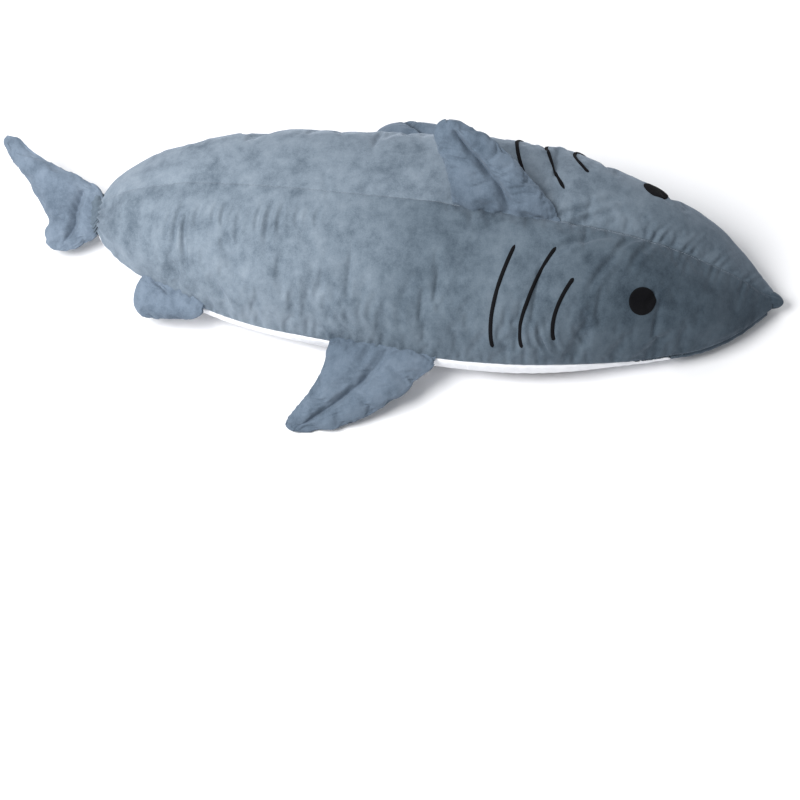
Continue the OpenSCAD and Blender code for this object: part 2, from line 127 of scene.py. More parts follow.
class Shader:
    def __init__(self, name):
        self.material = bpy.data.materials.new(name)
        self.material.use_nodes = True
        self.tree = self.material.node_tree
        self.bsdf = self.tree.nodes["Principled BSDF"]

    def add(self, kind):
        return self.tree.nodes.new("ShaderNode" + kind)

    def link(self, out, socket):
        self.tree.links.new(out, socket)

    def set(self, **values):
        for key, value in values.items():
            self.bsdf.inputs[key.replace("_", " ")].default_value = value

    def noise(self, coords, scale, detail, rough, stretch=None):
        n = self.add("TexNoise")
        for key, value in (("Scale", scale), ("Detail", detail), ("Roughness", rough)):
            n.inputs[key].default_value = value
        if stretch:
            mapping = self.add("Mapping")
            mapping.inputs["Scale"].default_value = stretch
            self.link(coords, mapping.inputs["Vector"])
            coords = mapping.outputs["Vector"]
        self.link(coords, n.inputs["Vector"])
        return n.outputs["Fac"]

    def calc(self, kind, *values):
        n = self.add("Math")
        n.operation = kind
        for socket, v in zip(n.inputs, values):
            if isinstance(v, (int, float)):
                socket.default_value = v
            else:
                self.link(v, socket)
        return n.outputs[0]

    def ramp(self, fac, stops):
        n = self.add("ValToRGB")
        while len(n.color_ramp.elements) < len(stops):
            n.color_ramp.elements.new(0.5)
        for e, (position, colour) in zip(n.color_ramp.elements, stops):
            e.position = position
            e.color = (*colour, 1)
        self.link(fac, n.inputs["Fac"])
        return n.outputs["Color"]


def plain(name, colour, rough):
    s = Shader(name)
    s.set(Base_Color=(*colour, 1), Roughness=rough)
    return s.material


# Scales of the plush's noise, in features per metre: in its colour, then in its bump
PATCHES, CLOUDS, GRAIN = 5.5, 24.0, 330.0
TUFTS, FIBRES = 90.0, 620.0
COARSE_SHARE, GRAIN_SHARE = 0.42, 0.16  # of the patches and the clouds each, and of the grain
SHADE_SPAN = 0.16  # how far the noise goes from its middle to the darkest and the lightest shade
NAP_SHADE_DRIFT = 0.35  # metres that the bands of the nap and the painted shade wander
NAP_SHADE_REACH = 1000  # the ramp of nap and painted shade spans this many millimetres either way from the middle
PILE_HEIGHT = 0.0022


def pile_colour(s, coords, shades, contrast):
    patches = s.noise(coords, PATCHES, 6.0, 0.62)
    clouds = s.noise(coords, CLOUDS, 7.0, 0.68, (1.0, 0.8, 0.8))
    grain = s.noise(coords, GRAIN, 3.0, 0.7)
    v = s.calc("MULTIPLY", patches, COARSE_SHARE)
    v = s.calc("ADD", v, s.calc("MULTIPLY", clouds, COARSE_SHARE))
    v = s.calc("ADD", v, s.calc("MULTIPLY", grain, GRAIN_SHARE))
    half = SHADE_SPAN / contrast
    return s.ramp(v, list(zip((0.5 - half, 0.5, 0.5 + half), shades)))


def darken_for_nap_and_shade(s, coords, colour, nap_shade_ramp):
    """The colour darkened along the body, and bluer there: partly for the way the pile lies, partly as
    painted shade. Its ramp is (station, share of light) pairs.
    """
    split = s.add("SeparateXYZ")
    s.link(coords, split.inputs[0])
    drift = s.calc("MULTIPLY", s.noise(coords, 3.2, 3.0, 0.6), NAP_SHADE_DRIFT)
    x = s.calc("ADD", split.outputs["X"], drift)
    x = s.calc("ADD", x, NAP_SHADE_REACH * MM - NAP_SHADE_DRIFT / 2)
    along = s.calc("MULTIPLY", x, 0.5)
    stops = [((u + TAIL_ROOT + NAP_SHADE_REACH) / (2 * NAP_SHADE_REACH), (k**1.12, k, k**0.94)) for u, k in nap_shade_ramp]
    mix = s.add("Mix")
    mix.data_type = "RGBA"
    mix.blend_type = "MULTIPLY"
    mix.inputs["Factor"].default_value = 1.0
    s.link(colour, mix.inputs["A"])
    s.link(s.ramp(along, stops), mix.inputs["B"])
    return mix.outputs["Result"]


def pile(name, *shades, nap_shade_ramp=None, contrast=1.0, sheen=0.25, tint=(0.75, 0.85, 1.0), depth=1.0):
    """Short-pile plush: soft cloudy patches where the pile lies another way, over a fine fibre grain.
    shades are its dark, middle and light colours, depth is its pile against the usual one. A ramp
    along the body, when given, darkens it partly for the way the pile lies and partly as painted shade."""
    s = Shader(name)
    coords = s.add("TexCoord").outputs["Object"]
    colour = pile_colour(s, coords, shades, contrast)
    if nap_shade_ramp:
        colour = darken_for_nap_and_shade(s, coords, colour, nap_shade_ramp)
    s.link(colour, s.bsdf.inputs["Base Color"])
    s.set(Roughness=0.93, Specular_IOR_Level=0.12)
    s.set(Sheen_Weight=sheen, Sheen_Roughness=0.45, Sheen_Tint=(*tint, 1))
    fibres = s.calc("MULTIPLY", s.noise(coords, FIBRES, 3.0, 0.75), 0.35)
    bump = s.add("Bump")
    bump.inputs["Strength"].default_value = 0.35
    bump.inputs["Distance"].default_value = PILE_HEIGHT * depth
    s.link(s.calc("ADD", fibres, s.noise(coords, TUFTS, 5.0, 0.6)), bump.inputs["Height"])
    s.link(bump.outputs["Normal"], s.bsdf.inputs["Normal"])
    return s.material


GREY = ((0.110, 0.142, 0.180), (0.225, 0.270, 0.322), (0.320, 0.368, 0.425))
FIN_GREY = ((0.108, 0.142, 0.188), (0.222, 0.272, 0.342), (0.320, 0.372, 0.452))
WHITE = ((0.70, 0.71, 0.75), (0.82, 0.83, 0.86), (0.88, 0.89, 0.91))
RED = ((0.33, 0.002, 0.004), (0.50, 0.004, 0.008), (0.60, 0.010, 0.014))
# The teeth's plush is a greyer white with a pink tint that is painted reflection of the red lining.
TOOTH = ((0.62, 0.58, 0.62), (0.74, 0.71, 0.74), (0.80, 0.77, 0.80))
FIBRE = ((0.75, 0.75, 0.74), (0.85, 0.85, 0.84), (0.90, 0.90, 0.90))
BLACK = ((0.002, 0.002, 0.003), (0.004, 0.004, 0.005), (0.007, 0.007, 0.009))
UNTINTED = (1, 1, 1)

# How much light the plush gives back at stations: partly its nap, partly painted shade, which darkens
# the right side and the head most
NEAR_NAP_AND_SHADE = [(0, 0.76), (450, 0.73), (650, 0.66), (850, 0.49), (1180, 0.47), (1400, 0.29), (1700, 0.28)]
FAR_NAP_AND_SHADE = [(0, 0.86), (500, 0.72), (1050, 0.70), (1250, 0.62), (1450, 0.50), (1700, 0.40)]
FIN_NAP_AND_SHADE = [(0, 0.74), (300, 0.68), (650, 0.54), (900, 0.55), (1100, 0.60)]
SNOUT_NAP_AND_SHADE = [(0, 0.55), (1600, 0.26)]


WHITE_PILE = dict(contrast=0.8, sheen=0.2, tint=UNTINTED)
MATERIALS = {
    # The grey plush materials are one grey darkened along the body by ramps, partly for the nap and
    # partly as painted shade: the right side darkest at the head, the snout and the tail's neck
    # darkened throughout.
    "grey_nap_shaded": pile("plush_shaded_grey", *GREY, nap_shade_ramp=SNOUT_NAP_AND_SHADE),
    "grey_left": pile("plush_grey_left", *GREY, nap_shade_ramp=FAR_NAP_AND_SHADE, contrast=1.2),
    "grey_right": pile("plush_grey_right", *GREY, nap_shade_ramp=NEAR_NAP_AND_SHADE, contrast=1.3),
    "fin": pile("plush_grey_fin", *FIN_GREY, nap_shade_ramp=FIN_NAP_AND_SHADE),
    "white": pile("plush_white", *WHITE, **WHITE_PILE),
    "red": pile("lining_red", *RED, sheen=0.1, tint=(1, 0.4, 0.4), depth=0.5),
    "tooth": pile("tooth_plush", *TOOTH, depth=0.7, **WHITE_PILE),
    "fibre": pile("polyester_fibre", *FIBRE, depth=3.0),
    "black": pile("black_felt", *BLACK, sheen=0.0, depth=0.5),
}


# ---- Numbers along the body, the same curves as the CAD model's ----

# Each is (station, value) pairs
HALF_WIDTH = [
    (0, 58), (30, 100), (100, 156), (250, 228), (420, 280), (600, 307), (820, 325), (980, 330),
    (1120, 320), (1240, 296), (1360, 257), (1470, 217), (1560, 178), (1640, 120), (1700, 56),
    (1732, 20), (1745, 12),
]
TOP = [
    (0, 138), (30, 170), (100, 214), (250, 256), (450, 278), (700, 285), (900, 286), (1160, 280),
    (1300, 262), (1420, 232), (1540, 178), (1640, 116), (1710, 62), (1745, 46),
]
SEAM = [
    (0, 98), (100, 116), (250, 128), (500, 130), (1000, 128), (1250, 112), (1450, 78), (1600, 47),
    (1745, 32),
]
BELLY = [
    (0, 58), (60, 38), (140, 15), (240, 0), (360, -14), (1400, -14), (1560, -8), (1640, -2), (1700, 10),
    (1745, 20),
]
BACK_POWER, BELLY_POWER = 2.25, 3  # of the section's superellipse

# How far below the widest line the side seam is sewn, in degrees of the section
SEW_LOWER = [
    (0, 1), (60, 6), (200, 8), (450, 7), (620, 4), (950, 2.5), (1100, 2), (1250, 3), (1390, 8),
    (1500, 5), (1600, 2), (1745, 0),
]

# The mouth in plan, as stations and half widths, and the lower jaw's tip
CORNER, CORNER_HALF = 1004.0, 247.0
WIDEST, WIDEST_HALF = 1118.0, 271.0
MOUTH_APEX = 1486.0
JAW_TIP = 1205.0
LIP_FRONT = 1390  # where the lip's front line leaves the side seams
UPPER_TEETH, LOWER_TEETH, TOOTH_LENGTH = 13, 9, 90
POCKET_END = 186
PALATE_EDGE = 22  # lowest height of the palate's edge


def curve(points, x):
    px, py = np.array(points, float).T
    slope = np.empty_like(py)
    slope[1:-1] = (py[2:] - py[:-2]) / (px[2:] - px[:-2])
    slope[0] = (py[1] - py[0]) / (px[1] - px[0])
    slope[-1] = (py[-1] - py[-2]) / (px[-1] - px[-2])
    x = np.clip(np.asarray(x, float), px[0], px[-1])
    k = np.clip(np.searchsorted(px, x, side="right") - 1, 0, len(px) - 2)
    h = px[k + 1] - px[k]
    t = (x - px[k]) / h
    return (
        (2 * t**3 - 3 * t**2 + 1) * py[k]
        + (t**3 - 2 * t**2 + t) * h * slope[k]
        + (3 * t**2 - 2 * t**3) * py[k + 1]
        + (t**3 - t**2) * h * slope[k + 1]
    )


def smooth(v):
    v = np.clip(v, 0, 1)
    return v * v * (3 - 2 * v)


def bell(v):
    return np.exp(-(v**2))


def eased(line, times):
    """A line or a grid with its short bends along the first axis smoothed."""
    line = line.copy()
    for _ in range(times):
        line[1:-1] = (line[:-2] + 2 * line[1:-1] + line[2:]) / 4
    return line


def power(v, e):
    return np.sign(v) * np.abs(v) ** e


def spread(n):
    """A row of n numbers from -1 to 1, closer together at the ends."""
    return np.sin(np.linspace(-1, 1, n) * pi / 2)[None, :]


def circle(n):
    return np.linspace(0, 2 * pi, n, endpoint=False)[None, :]


def run_along(points):
    return np.concatenate([[0], np.cumsum(np.linalg.norm(np.diff(points, axis=0), axis=1))])


def section(u, a):
    """Point of the plain skin at station u and angle a: 0 at the left seam, 90 degrees on the spine."""
    upper = np.sin(a) >= 0
    n = np.where(upper, 2 / BACK_POWER, 2 / BELLY_POWER)
    rise = np.where(upper, curve(TOP, u) - curve(SEAM, u), curve(SEAM, u) - curve(BELLY, u))
    z = np.maximum(curve(SEAM, u) + rise * power(np.sin(a), n), 0)
    return np.stack([u + 0 * a, curve(HALF_WIDTH, u) * power(np.cos(a), n), z], -1)


# ---- The stuffed skin: a closed cloth blown up from the plain form ----

STATIONS = 172  # rings along the body
AROUND = 62  # cells over the back, and as many under the belly
FINER = 3  # each cell is split into this many each way after the simulation
RING_SAMPLES = 400
CLOTH_FRAMES = 20

# How firmly the cloth is held while it is blown up, from 0, free, to 1
SEAM_PIN = 0.55
SPINE_PIN_REAR, SPINE_PIN_FRONT, SPINE_PIN_CHANGE = 0.08, 0.3, 880
BELLY_PIN, FLOOR_PIN = 0.8, 0.6


def even_ring(u):
    """Points spread evenly round the plain form at station u: left seam, spine, right seam, belly."""
    out = []
    under = radians(float(curve(SEW_LOWER, u)))
    for start, end in ((-under, pi + under), (pi + under, 2 * pi - under)):
        a = np.linspace(start, end, RING_SAMPLES)
        p = section(np.full_like(a, u), a)
        run = run_along(p)
        want = np.linspace(0, run[-1], AROUND + 1)[:-1]
        out.append(np.stack([np.interp(want, run, p[:, k]) for k in range(3)], -1))
    return np.concatenate(out)


def plain_skin():
    edge = np.linspace(0, 1, STATIONS)
    u = BODY * (edge - 0.02 * np.sin(2 * pi * edge))  # rings closer together at the ends
    return np.array([even_ring(x) for x in u])


def mesh_object(name, points, faces, material=None):
    """A mesh from points in millimetres of the row frame."""
    mesh = bpy.data.meshes.new(name)
    mesh.from_pydata((np.asarray(points, float) * MM).tolist(), [], faces)
    mesh.polygons.foreach_set("use_smooth", [True] * len(mesh.polygons))
    if material:
        mesh.materials.append(MATERIALS[material])
    mesh.update()
    return new_object(name, mesh)


def placed(points):
    """From stations to the row frame, both in millimetres."""
    return np.asarray(points, float) + np.array([TAIL_ROOT, 0, 0])


def grid_faces(rows, columns, wrap=False, start=0, flip=False):
    faces = []
    for i in range(rows - 1):
        here, ahead = start + i * columns, start + (i + 1) * columns
        for j in range(columns if wrap else columns - 1):
            k = (j + 1) % columns
            f = (here + j, here + k, ahead + k, ahead + j)
            faces.append(f[::-1] if flip else f)
    return faces


def closed_tube(grid):
    """Points and faces of a tube, its ends closed to their middles."""
    n, m = grid.shape[:2]
    points = np.concatenate([grid.reshape(-1, 3), [grid[0].mean(0), grid[-1].mean(0)]])
    last = (n - 1) * m
    faces = grid_faces(n, m, wrap=True)
    faces += [(j, n * m, (j + 1) % m) for j in range(m)]
    faces += [(last + (j + 1) % m, n * m + 1, last + j) for j in range(m)]
    return points, faces


def pin_groups(o, pins):
    """Vertex groups: pin holds each point's weight, hold the points that don't stretch."""
    pin = o.vertex_groups.new(name="pin")
    hold = o.vertex_groups.new(name="hold")
    weights = np.round(pins, 2)
    for level in np.unique(weights):
        if level > 0:
            picked = np.nonzero(np.abs(weights - level) < 0.001)[0].tolist()
            pin.add(picked, float(level), "REPLACE")
            hold.add(picked, 1.0, "REPLACE")


def cloth(o, pressure, swell, stiff, bend):
    c = o.modifiers.new("cloth", "CLOTH").settings
    c.quality = 6
    c.mass = 0.25
    c.tension_stiffness = c.compression_stiffness = stiff
    c.shear_stiffness = stiff * 0.4
    c.bending_stiffness = bend
    c.use_pressure = True
    c.uniform_pressure_force = pressure
    c.shrink_min = -swell
    c.shrink_max = 0.0
    c.vertex_group_shrink = "hold"
    c.vertex_group_mass = "pin"
    c.pin_stiffness = 1.0
    c.effector_weights.gravity = 0
    c.air_damping = 4.0
    cache = o.modifiers["cloth"].point_cache
    cache.frame_start, cache.frame_end = 1, CLOTH_FRAMES


def inflate(grid, pins, end_pins, pressure, swell, cap, stiff=15.0, bend=0.5):
    """The grid of a closed tube of cloth, blown up. pins and end_pins are the weights of its points and
    its ends' middles, swell is how much the free cloth may grow and cap how far a point may move."""
    points, faces = closed_tube(grid)
    o = mesh_object("cloth", points, faces)
    pin_groups(o, np.append(pins.ravel(), end_pins))
    cloth(o, pressure, swell, stiff, bend)
    for f in range(1, CLOTH_FRAMES + 1):
        bpy.context.scene.frame_set(f)
    shown = o.evaluated_get(bpy.context.evaluated_depsgraph_get())
    co = np.empty(len(points) * 3)
    shown.data.vertices.foreach_get("co", co)
    moved = co.reshape(-1, 3) / MM - points
    far = np.linalg.norm(moved, axis=1, keepdims=True)
    moved *= np.minimum(1, cap / np.maximum(far, 1e-6))
    mesh = o.data
    bpy.data.objects.remove(o)
    bpy.data.meshes.remove(mesh)
    bpy.context.scene.frame_set(1)
    return (points + np.nan_to_num(moved))[:-2].reshape(grid.shape)


def skin_pins(rings):
    u, y, z = rings[..., 0], rings[..., 1], rings[..., 2]
    pins = np.zeros(u.shape)
    pins[:, 0] = pins[:, AROUND] = SEAM_PIN
    pins[:, AROUND // 2] = np.where(u[:, 0] > SPINE_PIN_CHANGE, SPINE_PIN_FRONT, SPINE_PIN_REAR)
    pins[:, AROUND:] = np.maximum(pins[:, AROUND:], BELLY_PIN)
    pins[z < 2] = FLOOR_PIN
    mouth = (u > CORNER - 40) & (z < 60) & (np.abs(y) < 285)
    pins[mouth] = 1.0
    pins[:2] = pins[-4:] = 1.0
    return pins


def stuffed_skin(rings):
    u = rings[..., 0]
    blown = inflate(rings, skin_pins(rings), [1, 1], pressure=2.5, swell=0.035, cap=22.0)
    move = blown - rings
    soft = eased(move, 8)
    ends = np.maximum(smooth((u - 1480) / 90), smooth((240 - u) / 90))
    move = move + (soft - move) * ends[..., None]
    result = rings + move * smooth((1715 - u) / 150)[..., None]
    result[..., 2] = np.maximum(result[..., 2], 0)
    return result


def finer(grid, k, wrap):
    """Splits each cell along the first axis into k, on a smooth curve through the points."""
    n = len(grid)
    steps = range(-1, 3)
    if wrap:
        a, b, c, d = (grid[(np.arange(n) + step) % n] for step in steps)
    else:
        a, b, c, d = (grid[np.clip(np.arange(n - 1) + step, 0, n - 1)] for step in steps)
    rows = []
    for t in np.arange(k) / k:
        bend = (2 * a - 5 * b + 4 * c - d) + t * (3 * (b - c) + d - a)
        rows.append(b + 0.5 * t * ((c - a) + t * bend))
    out = np.stack(rows, 1).reshape(-1, *grid.shape[1:])
    return out if wrap else np.concatenate([out, grid[-1:]])


def normals_of(grid):
    along = np.gradient(grid, axis=0)
    around = np.roll(grid, -1, 1) - np.roll(grid, 1, 1)
    n = np.cross(around, along)
    return n / np.maximum(np.linalg.norm(n, axis=-1, keepdims=True), 1e-9)


class Skin:
    """The finished outer surface as a fine grid. Its columns go from the left seam over the spine, at
    cells / 2, to the right seam, at cells, and under the belly back to the left seam."""

    def __init__(self, grid):
        self.cells = AROUND * FINER
        self.below = np.arange(self.cells, 2 * self.cells + 1) % (2 * self.cells)  # the belly's columns
        fine = finer(grid, FINER, False)
        self.grid = finer(fine.swapaxes(0, 1), FINER, True).swapaxes(0, 1)
        self.measure()

    def measure(self):
        g = self.grid
        self.normal = normals_of(g)
        step = np.linalg.norm(np.roll(g, -1, 1) - g, axis=-1)
        run = np.concatenate([np.zeros((len(g), 1)), np.cumsum(step, 1)], 1)
        spine = run[:, self.cells // 2]
        self.w = spine[:, None] - run[:, :-1]  # over the back from the spine, positive to the left
        self.side = run[:, self.cells] - spine  # spine to side seam
        self.u = g[:, :, 0].mean(1)
        middle = self.cells * 3 // 2
        self.q = run[:, self.cells :] - run[:, middle, None]  # under the belly from its middle

    def push(self, amount):
        self.grid = self.grid + self.normal * amount[..., None]
        self.grid[..., 2] = np.maximum(self.grid[..., 2], 0)
        self.measure()

    def look(self, u, v, key, columns, off=0.0):
        """Points off millimetres above the skin, at stations u, where key over the columns is v."""
        u, v, off = np.broadcast_arrays(*(np.asarray(x, float) for x in (u, v, off)))
        i = np.clip(np.interp(u, self.u, np.arange(len(self.u))), 0, len(self.u) - 1.001)
        low = i.astype(int)
        t = (i - low)[..., None]
        out = 0
        for row, share in ((low, 1 - t), (low + 1, t)):
            j = np.empty(u.shape)
            for r in np.unique(row):
                pick = row == r
                rising = np.maximum.accumulate(key(r, columns))
                j[pick] = np.interp(v[pick], rising, np.arange(len(columns)))
            a = np.clip(j.astype(int), 0, len(columns) - 2)
            s = (j - a)[..., None]
            for c, weight in ((columns[a], 1 - s), (columns[a + 1], s)):
                out = out + (self.grid[row, c] + self.normal[row, c] * off[..., None]) * weight * share
        return out

    def back(self, u, w, off=0.0):
        return self.look(u, -np.asarray(w), lambda r, c: -self.w[r, c], np.arange(self.cells + 1), off)

    def under(self, u, q, off=0.0):
        """Points on the belly at station u and q millimetres left of its middle, over the skin."""
        return self.look(u, q, lambda r, c: self.q[r], self.below, off)

    def plan(self, line):
        """Turns (u, y) under the belly into (u, q)."""
        line = np.asarray(line, float)
        rows = np.clip(np.searchsorted(self.u, line[:, 0]), 0, len(self.u) - 1)
        across = (np.maximum.accumulate(self.grid[r, self.below, 1]) for r in rows)
        out = [np.interp(y, a, self.q[r]) for a, r, y in zip(across, rows, line[:, 1])]
        return np.stack([line[:, 0], out], -1)

    def seam_q(self, u):
        return np.interp(u, self.u, self.q[:, -1])


def wave(x, length, seed):
    """An uneven ripple along x: between -1 and 1, with crests about length apart."""
    r = np.random.default_rng(seed)
    out = 0
    for k in range(4):
        f = (0.62 + 0.3 * k) / length
        out = out + np.sin(2 * pi * (f * x + r.random())) * (0.5 + 0.5 * r.random())
    return out / 2.4


def turned(x, y, degrees):
    """The coordinates along and across a direction at the given angle from x."""
    c, s = cos(radians(degrees)), sin(radians(degrees))
    return x * c + y * s, -x * s + y * c


def fold(skin, u0, w0, turn, length, width, depth):
    """A crease centred at (u0, w0), turned from the body's length by turn degrees."""
    along, across = turned(skin.grid[..., 0] - u0, skin.w - w0, turn)
    along = along / (length / 2)
    across = (across + 6 * (along**2 - 0.4)) / width
    lift = 0.55 * bell((np.abs(across) - 1.9) / 0.9)
    return depth * (lift - bell(across)) * bell(along**2 * 1.1)


def belly_creases(skin, amount):
    """Shallow pulls, only inwards because the belly lies on the floor."""
    columns = skin.below[:-1]
    u, q = skin.grid[:, columns, 0], skin.q[:, :-1]
    for _ in range(BELLY_PULLS):
        u0, q0, turn = RNG.uniform(120, 1180), RNG.uniform(-230, 230), RNG.uniform(20, 160)
        along, across = turned(u - u0, q - q0, turn)
        along = along / RNG.uniform(40, 110)
        across = (across + 7 * along**2) / RNG.uniform(7, 14)
        amount[:, columns] -= RNG.uniform(0.8, 2.6) * bell(across) * bell(along**2)
    return amount


BACK_PULLS, BELLY_PULLS = 46, 34  # random creases
EYE_STATION, EYE_RADIUS = 1400, 34
CREASE_DEPTH = 1.35  # times the depths below
SEAM_GROOVE = 5.0  # width that a seam pulls down on each side

# Creases that the stuffing leaves: (station, distance left of the spine, turn, length, width, depth)
CREASES = [
    (222, -112, 84, 95, 6, 3.2), (246, -120, 86, 150, 7, 5.0), (270, -150, 97, 175, 7, 5.5),
    (296, -95, 88, 70, 6, 3.0), (338, -88, 90, 60, 6, 3.2), (362, -92, 88, 66, 6, 4.0),
    (404, -118, 92, 95, 7, 3.2), (452, -96, 88, 80, 7, 3.6), (478, -108, 91, 120, 9, 5.5),
    (505, -92, 93, 76, 7, 3.0), (548, -82, 90, 60, 6, 2.6), (596, -80, 92, 55, 6, 2.2),
    (1240, -60, 32, 150, 9, 3.5), (1262, 25, 30, 130, 8, 3.6), (1215, 30, 24, 90, 7, 3.4),
    (1300, -130, 62, 130, 8, 3.2), (1345, -40, 55, 90, 8, 3.0), (1385, -60, 66, 110, 8, 3.4),
    (1290, 75, 28, 110, 8, 2.4), (1420, 22, 70, 60, 6, 2.4), (1148, -318, 100, 70, 6, 3.4),
    (1176, -330, 112, 85, 6, 4.0), (1206, -322, 106, 60, 6, 3.0), (1262, -300, 124, 60, 7, 2.6),
    (700, -330, 108, 60, 7, 4.0), (730, -318, 104, 44, 6, 2.4), (830, -320, 100, 80, 9, 2.2),
    (560, -300, 95, 70, 9, 1.8),
]


def side_seam_tucks(u, side, w):
    return 1.9 * wave(u + 0.3 * side * np.sign(w), 30, 5) * np.exp(-side / 30) * (1 - bell(side / 6))


def spine_gathers(u, spine, w):
    """Gathers beside the spine seam: deep ones on the head, slight ones behind it."""
    nose = smooth((u - 1330) / 120) * smooth((1735 - u) / 40)
    slant = np.where(w > 0, u - 0.55 * spine, u + 0.15 * spine)
    gathers = wave(slant, 24, 3) * np.exp(-spine / 34) * (1 - bell(spine / 6))
    return 4.6 * nose * gathers + 0.7 * wave(u, 20, 4) * np.exp(-spine / 20) * (1 - nose)


def tail_pleats(u, columns):
    ring = np.linspace(0, 1, columns, endpoint=False)[None, :] + 0 * u
    return 3.5 * np.exp(-u / 42) * np.sin(2 * pi * 17 * ring + 1.5 * np.sin(2 * pi * 3 * ring))


def tailored(skin):
    u = skin.grid[..., 0]
    spine = np.abs(skin.w)
    side = np.abs(np.abs(skin.w) - skin.side[:, None])
    front = smooth((u - 1130) / 60)
    amount = -(0.5 + 2.2 * front) * bell(spine / SEAM_GROOVE)
    amount = amount - 3.6 * bell(side / SEAM_GROOVE)
    amount = amount + spine_gathers(u, spine, skin.w)
    amount = amount + side_seam_tucks(u, side, skin.w)
    amount = amount + tail_pleats(u, skin.grid.shape[1])
    for c in CREASES:
        amount = amount + CREASE_DEPTH * fold(skin, *c)
    for _ in range(BACK_PULLS):
        place = RNG.uniform(120, 1480), RNG.uniform(-330, 330)
        shape = RNG.uniform(55, 125), RNG.uniform(50, 130), RNG.uniform(7, 12), RNG.uniform(0.4, 1.3)
        amount = amount + fold(skin, *place, *shape)
    for sign in (1, -1):  # the felt holds the skin flat under the eyes
        away = np.hypot(u - EYE_STATION, skin.w - sign * 0.44 * skin.side[:, None])
        amount = amount * (1 - 0.9 * bell(away / 55))
    amount = amount * (skin.grid[..., 2] > 1)
    skin.push(belly_creases(skin, amount))


# ---- Pieces ----


def bends(o):
    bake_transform(o)


def torso(o):
    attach(o, "torso")


def finish_piece(o, move, nodes):
    move(o)
    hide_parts(*nodes)


def strip(name, grid, material, flip=False, wrap=False):
    faces = grid_faces(*grid.shape[:2], wrap=wrap, flip=flip)
    return mesh_object(name, placed(grid).reshape(-1, 3), faces, material)


def thicken(o, cloth, out):
    m = o.modifiers.new("cloth_thickness", "SOLIDIFY")
    m.thickness = cloth * MM
    m.offset = out


def piece(name, grid, look, move, nodes, fill, cloth=0, out=-1, **way):
    """A strip from the grid, moved by move, with the CAD parts in nodes hidden. cloth is its thickness,
    grown inwards if out is -1.
    """
    o = strip(name, grid, look, **way)
    if cloth:
        thicken(o, cloth, out)
    finish_piece(o, move, nodes)


def side_panels(skin):
    half = skin.cells // 2
    last = np.searchsorted(skin.u, 1722)
    for side, columns in (("left", slice(0, half + 1)), ("right", slice(half, skin.cells + 1))):
        nodes = [f"back_cover_{side}", f"head_cover_{side}"]
        grid = skin.grid[: last + 1, columns]
        piece(f"side_panel_{side}", grid, "grey_" + side, bends, nodes, 0.85, cloth=3)


def half_width(u):
    return curve(HALF_WIDTH, u)


def mouth_y(u):
    u = np.asarray(u, float)
    back = np.clip((WIDEST - u) / (WIDEST - CORNER), 0, None)
    behind = WIDEST_HALF - (WIDEST_HALF - CORNER_HALF) * back**1.5
    front = np.clip((u - WIDEST) / (MOUTH_APEX - WIDEST), 0, 1)
    ahead = WIDEST_HALF * np.clip(1 - front**1.8, 0, 1) ** (1 / 1.8)
    return np.where(u <= WIDEST, behind, ahead)


def rim_at(y):
    return JAW_TIP - (JAW_TIP - CORNER) * (np.abs(y) / CORNER_HALF) ** 1.65


def pocket_y(u):
    """Half the sleeping pocket's width, which narrows to the mouth corners."""
    v = np.minimum(u, CORNER)
    narrowing = (np.clip(v - 850, 0, None) / (CORNER - 850)) ** 2
    return half_width(v) - 25 - (half_width(CORNER) - 25 - CORNER_HALF) * narrowing


def quilt(u, y):
    """The pocket's half height at a place: closed at its end, round across."""
    closing = np.clip((u - 180) / 80, 0, 1) ** 0.5
    return 42 * closing * (1 - np.minimum(np.abs(y) / pocket_y(u), 1) ** 4)


def palate_z(u, y):
    """The mouth's upper lining: a vault that flattens into the pocket at the mouth corners."""
    high = curve(SEAM, CORNER) + 20
    share = 1 - smooth((u - CORNER) / 110)
    low = np.maximum(PALATE_EDGE, height(u, mouth_y(u) + 13, False, 4))
    edge = low + (curve(SEAM, CORNER) - low) * share
    middle = PALATE_EDGE + high * (mouth_y(u) / CORNER_HALF) ** 0.8
    across = np.minimum(np.abs(y) / np.maximum(mouth_y(u), 1), 1)
    return edge + (np.maximum(middle, edge) - edge) * (1 - across ** (2 + 2 * share))


def jaw_edge(y):
    return 14 + 36 * (1 - np.minimum(np.abs(y) / CORNER_HALF, 1) ** 4)


def jaw_roll(inward):
    """How far the jaw's cover has rolled over, from 0 on the rim to 1 at 60 mm inside it."""
    return 1 - (1 - np.clip(inward / 60, 0, 1)) ** 2


def jaw_top(u, y):
    h = jaw_edge(y)
    floor = curve(SEAM, u) - quilt(u, y)
    return h + (floor - h) * np.sqrt(jaw_roll(rim_at(y) - u))


def gum_front(n):
    """The lip's front line in plan, from the left seam to the right one."""
    a = np.linspace(pi / 2, -pi / 2, n)
    y = half_width(LIP_FRONT) * power(np.sin(a), 0.9)
    return np.stack([LIP_FRONT + 166 * power(np.cos(a), 0.9), y], -1)


def even_line(points, n):
    points = np.asarray(points, float)
    run = run_along(points)
    want = np.linspace(0, run[-1], n)
    return np.stack([np.interp(want, run, points[:, k]) for k in (0, 1)], -1)


def seam_line(skin, start, end, n=60):
    u = np.linspace(start, end, n)
    return np.stack([u, skin.seam_q(u)], -1)


def mirrored(line):
    """A line on the left carried on over the middle to the same line on the right."""
    return np.concatenate([line, (line * [1, -1])[::-1]])


def band(skin, inner, outer, columns):
    t = np.linspace(0, 1, columns)[None, :, None]
    plan = outer[:, None] * (1 - t) + inner[:, None] * t
    return skin.under(plan[..., 0], plan[..., 1])


